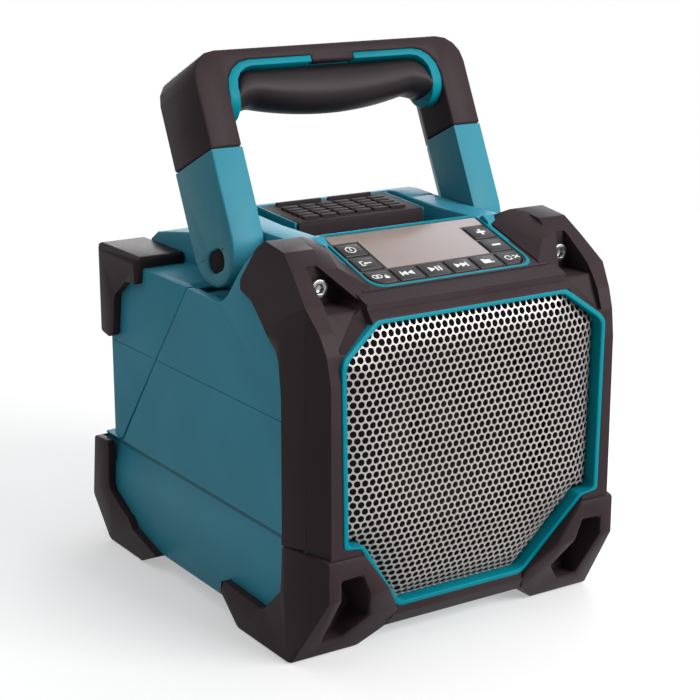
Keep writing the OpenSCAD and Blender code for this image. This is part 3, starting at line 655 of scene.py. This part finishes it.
def make_grille():
    sheet = perforated("grille_sheet", *SHEET_SPAN)
    clip_to_ring(sheet)
    press_pillow(sheet)
    edit(sheet)
    bpy.ops.mesh.remove_doubles(threshold=SHEET_MERGE)
    bpy.ops.mesh.normals_make_consistent(inside=False)
    leave()
    if sum(f.normal.y * f.area for f in sheet.data.polygons) > 0:
        edit(sheet)
        bpy.ops.mesh.flip_normals()
        leave()
    thicken(sheet, SHEET_THICK * MM, offset=-1.0)
    smooth(sheet, GRILLE_SHADING)
    done(sheet, "grille_metal", "body", ("speaker_grille",))


# Handle grip: a round bar with a flat top under the trim, sagging to the palm.
PIVOT = (0.0, -10.0, 159.5)
LEAN = 25.0
GRIP_HALF = 51.5
GRIP_AXIS = (-7.2, 70.0)
GRIP_TOP = 81.0
GRIP_DEEP = 10.9
GRIP_END = 9.0
GRIP_LOW = 9.7
GRIP_SAG, SAG_HALF = 5.2, 42.0
GRIP_FLARE = 0.25
FLAT_POWER, ROUND_POWER = 2.9, 2.2
GRIP_SIDES = 40
GRIP_SLICES = 48
GRIP_SHADING = 40


def on_handle(x, v, a):
    """From the handle's own frame, v across its depth and a up from the pivot, to the shared frame."""
    turn = math.radians(LEAN)
    y = PIVOT[1] + v * math.cos(turn) + a * math.sin(turn)
    z = PIVOT[2] - v * math.sin(turn) + a * math.cos(turn)
    return Vector((x, y, z)) * MM


def grip_low(x):
    """Height of the grip's underside at x, in the handle's own frame."""
    x = abs(x)
    rise = GRIP_SAG * (min(x, SAG_HALF) / SAG_HALF) ** 2
    return GRIP_AXIS[1] - GRIP_LOW + rise - max(0.0, x - SAG_HALF) * GRIP_FLARE


def grip_high(x):
    """Height of the grip's top at x, rounded off towards its ends."""
    end = max(0.0, abs(x) - (GRIP_HALF - GRIP_END)) / GRIP_END
    return GRIP_TOP - GRIP_END * (1 - math.sqrt(max(0.0, 1 - end * end)))


def make_grip():
    clear_selection()
    bpy.ops.mesh.primitive_cylinder_add(vertices=GRIP_SIDES, radius=GRIP_DEEP * MM, depth=2 * GRIP_HALF * MM,
                                        end_fill_type="NGON", location=(0, 0, 0),
                                        rotation=(0, math.pi / 2, 0))
    grip = bpy.context.object
    grip.name = "grip_sleeve"
    bpy.ops.object.transform_apply(location=True, rotation=True, scale=True)
    for step in range(1, GRIP_SLICES):
        edit(grip)
        x = -GRIP_HALF + step * 2 * GRIP_HALF / GRIP_SLICES
        bpy.ops.mesh.bisect(plane_co=(x * MM, 0, 0), plane_no=(1, 0, 0))
    leave()
    for p in grip.data.vertices:
        x = p.co.x / MM
        turn = math.atan2(p.co.z, p.co.y)
        low, high = grip_low(x), grip_high(x)
        power = FLAT_POWER if math.sin(turn) > 0 else ROUND_POWER
        out = (abs(math.cos(turn)) ** power + abs(math.sin(turn)) ** power) ** (-1 / power)
        v = GRIP_AXIS[0] + GRIP_DEEP * out * math.cos(turn)
        a = 0.5 * (high + low) + 0.5 * (high - low) * out * math.sin(turn)
        p.co = on_handle(x, v, a)
    face_outward(grip)
    smooth(grip, GRIP_SHADING)
    done(grip, "grip_rubber", "handle", ("handle_grip",))


# The panel's own frame: u across, v up the slope, w out of it.
PANEL_FOOT = (0.0, -88.5, 159.0)
PANEL_TILT = 18.0
RIM_HALF = 42.4
RIM_FRONT = -0.4
RIM_CORNER = 7.0
CORNER_STEPS = 9
COLLAR_HALF = 48.4
COLLAR_FRONT = -1.3
COLLAR_BACK = 21.0
COLLAR_THICK = 0.6


def on_panel(u, v, w):
    """Matrix from millimetres about a point on the panel to the shared frame."""
    return (Matrix.Scale(MM, 4) @ Matrix.Translation(PANEL_FOOT)
            @ Matrix.Rotation(math.radians(PANEL_TILT), 4, "X") @ Matrix.Translation((u, v, w)))


def make_collar():
    """Thin black collar that carries the frame up to the rim, round its front corners."""
    right = []
    for i in range(CORNER_STEPS + 1):
        turn = 0.5 * math.pi * i / CORNER_STEPS
        u = RIM_HALF - RIM_CORNER * (1 - math.sin(turn))
        v = RIM_FRONT + RIM_CORNER * (1 - math.cos(turn))
        right.append((u, v))
    right += [(RIM_HALF, COLLAR_BACK), (COLLAR_HALF, COLLAR_BACK), (COLLAR_HALF, COLLAR_FRONT)]
    outline = right + [(-u, v) for u, v in reversed(right)]
    sheet = bpy.data.meshes.new("panel_collar")
    sheet.from_pydata([(u, v, 0.0) for u, v in outline], [], [list(range(len(outline)))])
    sheet.transform(on_panel(0.0, 0.0, 0.0))
    collar = bpy.data.objects.new("panel_collar", sheet)
    bpy.context.scene.collection.objects.link(collar)
    thicken(collar, COLLAR_THICK * MM)
    done(collar, "frame_black", BODY_OF["front_frame"])


# Printed signs on the keys, each drawn in mm about the middle of its key.
KEY_TOP = 0.5
INK_LIFT = 0.03
INK_THICK = 0.08
KEY_STEP = 13.8
FRONT_ROW, MIDDLE_ROW, BACK_ROW = 7.4, 19.2, 31.0
MIDDLE_KEY = 0.5 * (len(FRONT_KEYS) - 1)
OUTER_KEY = MIDDLE_KEY * KEY_STEP
RING_SIDES = 40
KEY_PLACE = {
    "power": (-OUTER_KEY, BACK_ROW), "source": (-OUTER_KEY, MIDDLE_ROW),
    "plus": (OUTER_KEY, BACK_ROW), "minus": (OUTER_KEY, MIDDLE_ROW),
}
KEY_PLACE.update({key: ((i - MIDDLE_KEY) * KEY_STEP, FRONT_ROW) for i, key in enumerate(FRONT_KEYS)})


def bar(u, v, wide, tall, turn=0.0):
    """A rectangle, turned about its middle."""
    bpy.ops.mesh.primitive_plane_add(size=1.0, location=(u, v, 0), rotation=(0, 0, math.radians(turn)))
    piece = bpy.context.object
    piece.scale = (wide, tall, 1)
    return piece


def wedge(u, v, size, turn=0.0):
    """A triangle, pointing right before it is turned."""
    bpy.ops.mesh.primitive_circle_add(vertices=3, radius=size, fill_type="NGON", location=(u, v, 0),
                                      rotation=(0, 0, math.radians(turn - 90)))
    return bpy.context.object


def ring(u, v, radius, line, end=360):
    """A printed circle line, or an arc of one from the right up to an angle."""
    bpy.ops.mesh.primitive_circle_add(vertices=RING_SIDES, radius=radius, fill_type="NOTHING",
                                      location=(u, v, 0))
    piece = bpy.context.object
    edit(piece)
    bpy.ops.mesh.extrude_edges_move()
    bpy.ops.transform.resize(value=((radius - line) / radius,) * 2 + (1,), center_override=(u, v, 0))
    leave()
    if end < 360:
        for face in piece.data.polygons:
            at = math.degrees(math.atan2(face.center.y, face.center.x)) % 360
            face.select = at > end
        bpy.ops.object.mode_set(mode="EDIT")
        bpy.ops.mesh.select_mode(type="FACE")
        bpy.ops.mesh.delete(type="FACE")
        leave()
    return piece


def print_sign(key, *marks):
    """Join the marks of one sign, give the ink its thickness and lay it on its key."""
    clear_selection()
    for mark in marks:
        mark.select_set(True)
    sign = marks[0]
    bpy.context.view_layer.objects.active = sign
    if len(marks) > 1:
        bpy.ops.object.join()
    bpy.ops.object.transform_apply(location=True, rotation=True, scale=True)
    sign.name = "sign_" + key
    face_outward(sign)
    thicken(sign, INK_THICK)
    sign.data.transform(on_panel(*KEY_PLACE[key], KEY_TOP + INK_LIFT))
    done(sign, "sign_white", BODY_OF["key_" + key])


def make_signs():
    clear_selection()
    print_sign("plus", bar(0, 0, 4.6, 1.2), bar(0, 1.45, 1.2, 1.7), bar(0, -1.45, 1.2, 1.7))
    print_sign("minus", bar(0, 0, 4.6, 1.2))
    print_sign("power", ring(0, 0, 2.5, 0.5), bar(0, 0.2, 0.6, 2.4))
    print_sign("source", bar(-2.2, 0, 0.6, 3.6), bar(-1.2, 1.5, 1.4, 0.6), bar(-1.2, -1.5, 1.4, 0.6),
               bar(1.7, 0, 2.6, 0.7), wedge(0.1, 0, 1.1, 180))
    print_sign("previous", bar(-3.1, 0, 0.8, 3.4), wedge(-1.2, 0, 2.0, 180), wedge(1.9, 0, 2.0, 180))
    print_sign("play", wedge(-1.6, 0, 2.1), bar(1.2, 0, 0.9, 3.5), bar(2.9, 0, 0.9, 3.5))
    print_sign("next", wedge(-1.9, 0, 2.0), wedge(1.2, 0, 2.0), bar(3.1, 0, 0.8, 3.4))
    print_sign("folder", bar(0, -0.3, 4.4, 2.8), bar(-1.3, 1.5, 1.8, 0.6), bar(2.9, -1.3, 0.8, 0.8))
    print_sign("repeat", ring(-1.9, 0, 1.8, 0.5, end=300), wedge(-0.9, -1.1, 0.8, 200),
               bar(2.4, 0, 3.6, 0.6, 38), bar(2.4, 0.2, 3.6, 0.6, -38))
    print_sign("pair", ring(-2.2, 0.4, 1.5, 0.5), ring(-0.3, 0.4, 1.5, 0.5), bar(3.0, -0.9, 2.0, 1.6),
               bar(3.0, 0.6, 1.2, 0.6))


set_camera()
set_world()
set_floor()
set_lamps()
mix_finishes()
paint_solids()
for node, width in SOFT_EDGES.items():
    softened(node, width, reshape=RESHAPE.get(node))
make_grille()
make_grip()
make_collar()
make_signs()
bpy.context.scene.view_settings.view_transform = "Standard"
